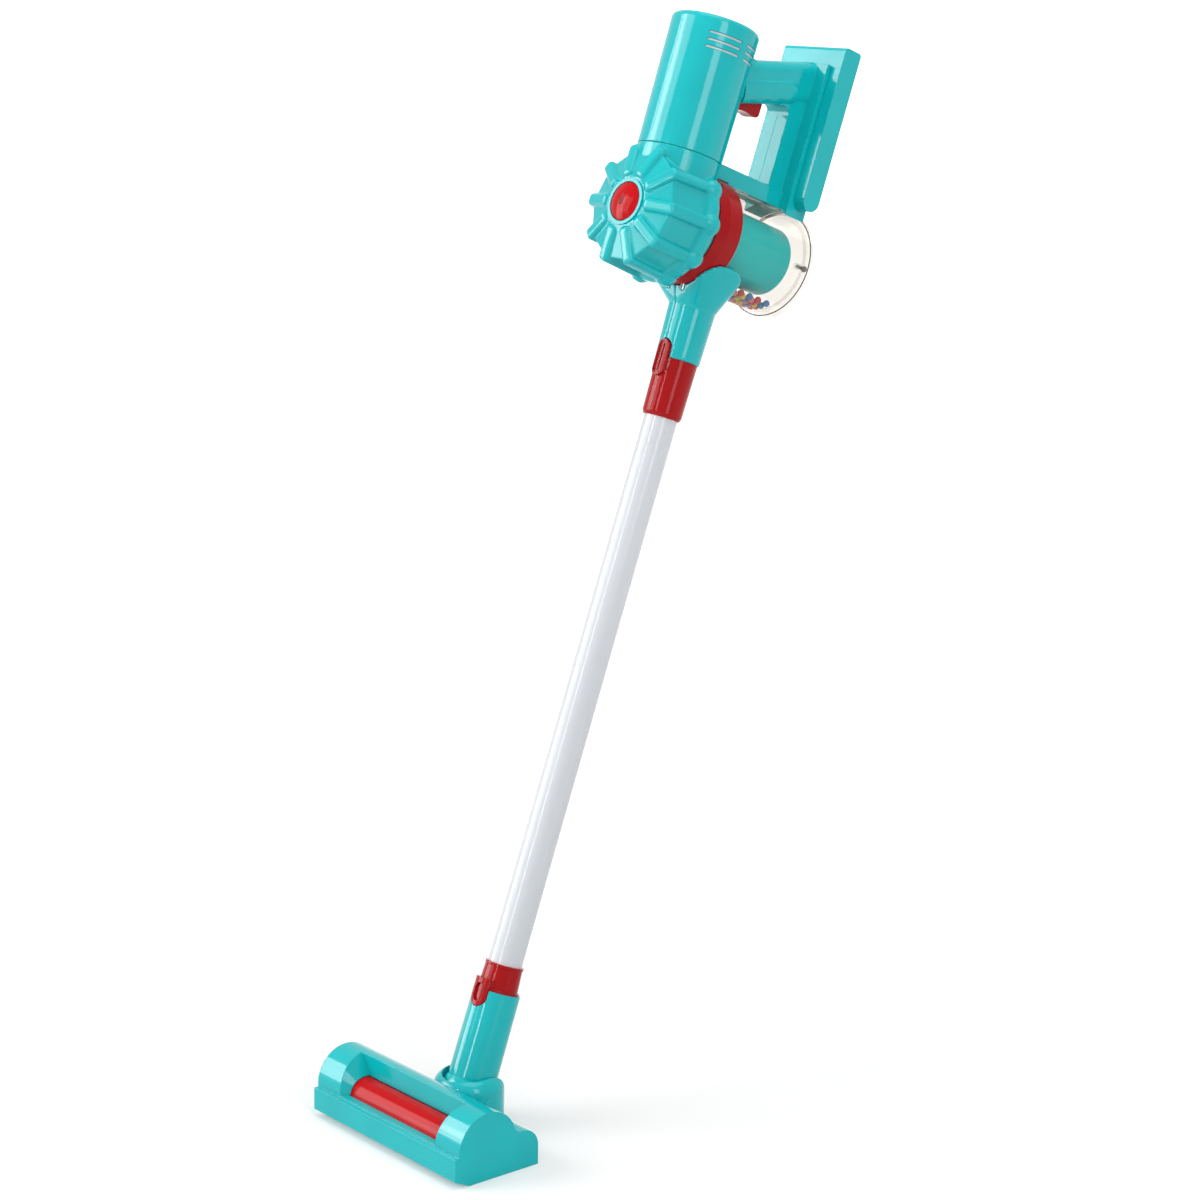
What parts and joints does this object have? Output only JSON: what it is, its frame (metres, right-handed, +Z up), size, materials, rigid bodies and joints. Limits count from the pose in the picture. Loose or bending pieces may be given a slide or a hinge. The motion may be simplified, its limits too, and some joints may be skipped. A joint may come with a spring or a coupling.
{
  "type": "toy stick vacuum cleaner",
  "caption": "Child's upright toy vacuum cleaner: roller floor head on a hinged neck, push-fit wand, and a hand unit with ribbed cyclone cap, clear bead bin, handle and battery box.",
  "frame": {"origin": "on the floor, under the middle of the floor head", "axes": "+Z up, -Y to the front, +X to the right seen from the front"},
  "size_m": [0.133, 0.3266, 0.6319],
  "materials": {
    "teal": "smooth moulded",
    "deep_teal": "smooth moulded",
    "red": "smooth moulded",
    "white": "extruded tube",
    "clear": "clear moulded plastic",
    "steel": "plated",
    "cell": "printed sleeve left plain",
    "brass": "plated spring brass",
    "dark": "matt",
    "board": "lacquered board",
    "bead_yellow": "foam bead",
    "bead_blue": "foam bead",
    "bead_pink": "foam bead"
  },
  "bodies": {
    "hand_unit": {"duct_left": "teal", "duct_right": "teal", "duct_screws": "steel", "left_housing": "teal", "right_housing": "teal", "housing_screws": "steel", "vent_liner": "white", "speaker": "dark", "circuit_board": "board", "cyclone_cap": "teal", "cap_screws": "steel", "hub_ring": "teal", "hub_spring": "steel", "bin_ring": "red", "bin": "clear", "bin_lid": "clear", "lid_screws": "steel", "bin_core": "deep_teal", "beads_red": "red", "beads_yellow": "bead_yellow", "beads_blue": "bead_blue", "beads_pink": "bead_pink", "trigger_pin": "steel", "trigger_spring": "steel", "switch": "dark", "battery_box": "teal", "box_screws": "steel", "battery_door": "deep_teal", "battery_cells": "cell", "battery_contacts": "brass", "door_screw": "steel"},
    "wand": {"lower_collar": "red", "wand_tube": "white", "upper_collar": "red"},
    "neck": {"neck": "teal"},
    "floor_head": {"head_shell": "teal", "sole_plate": "deep_teal", "sole_screws": "steel", "roller_axle": "steel", "neck_pin": "steel"},
    "roller": {"roller": "red"},
    "trigger": {"trigger": "red"},
    "hub_button": {"hub_button": "red"}
  },
  "joints": [
    {"name": "wand_pull", "type": "slide", "parent": "hand_unit", "child": "wand", "axis": [0, -0.3404, -0.9403], "range_m": [0, 0.022]},
    {"name": "neck_pull", "type": "slide", "parent": "wand", "child": "neck", "axis": [0, -0.3404, -0.9403], "range_m": [0, 0.022]},
    {"name": "head_tilt", "type": "hinge", "parent": "neck", "child": "floor_head", "pos_m": [0, 0.0314, 0.0195], "axis": [1, 0, 0], "range_deg": [-19.9, 38]},
    {"name": "roller_spin", "type": "hinge", "parent": "floor_head", "child": "roller", "pos_m": [0, -0.0109, 0.0169], "axis": [1, 0, 0], "continuous": true},
    {"name": "trigger_pull", "type": "hinge", "parent": "hand_unit", "child": "trigger", "pos_m": [0, 0.22631, 0.59024], "axis": [1, 0, 0], "range_deg": [0, 8], "stiffness_Nm_per_rad": 0.4, "springref_deg": -8.59, "deforming": ["trigger_spring"]},
    {"name": "hub_press", "type": "slide", "parent": "hand_unit", "child": "hub_button", "axis": [0, 0.9403, -0.3404], "range_m": [0, 0.002], "stiffness_N_per_m": 600, "springref_m": -0.002, "deforming": ["hub_spring"]}
  ]
}
